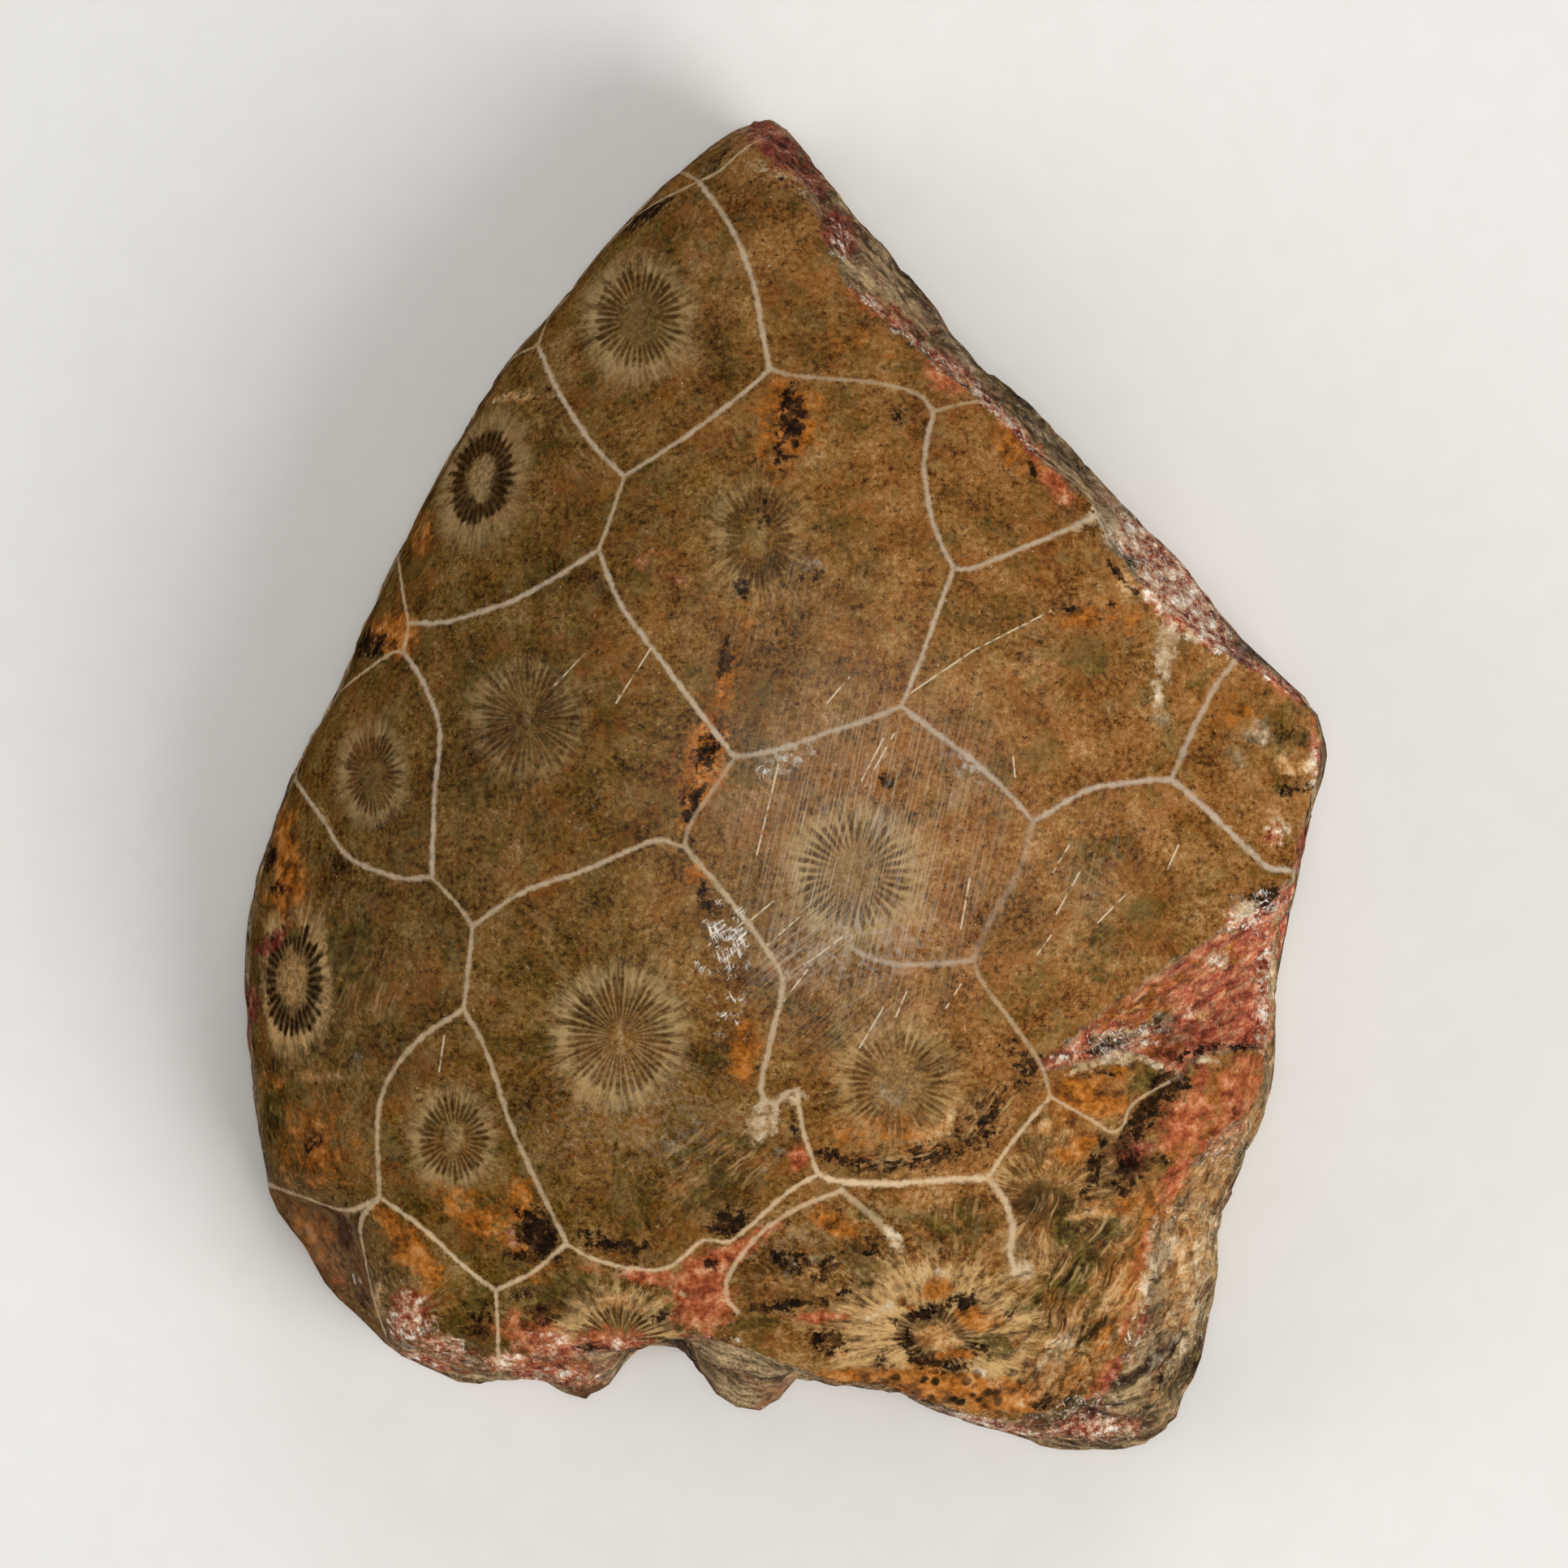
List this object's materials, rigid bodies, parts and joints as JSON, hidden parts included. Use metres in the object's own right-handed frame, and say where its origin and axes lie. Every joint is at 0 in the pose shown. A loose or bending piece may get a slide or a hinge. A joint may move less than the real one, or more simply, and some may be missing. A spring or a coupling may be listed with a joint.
{
  "type": "polished fossil coral slice",
  "caption": "Loose piece of fossil colonial coral with a domed polished face, broken sides and a flat sawn back to rest on.",
  "frame": {"origin": "middle of the bounding box, on the flat sawn back", "axes": "+Z out of the sawn back to the polished face, +Y along the piece to its pointed end, +X to its straighter broken side"},
  "size_m": [0.061, 0.0752, 0.022],
  "materials": {
    "fossil_limestone": "softly polished face, rough broken sides, sawn back"
  },
  "bodies": {
    "root": {"fossil_coral_slice": "fossil_limestone"}
  },
  "joints": []
}
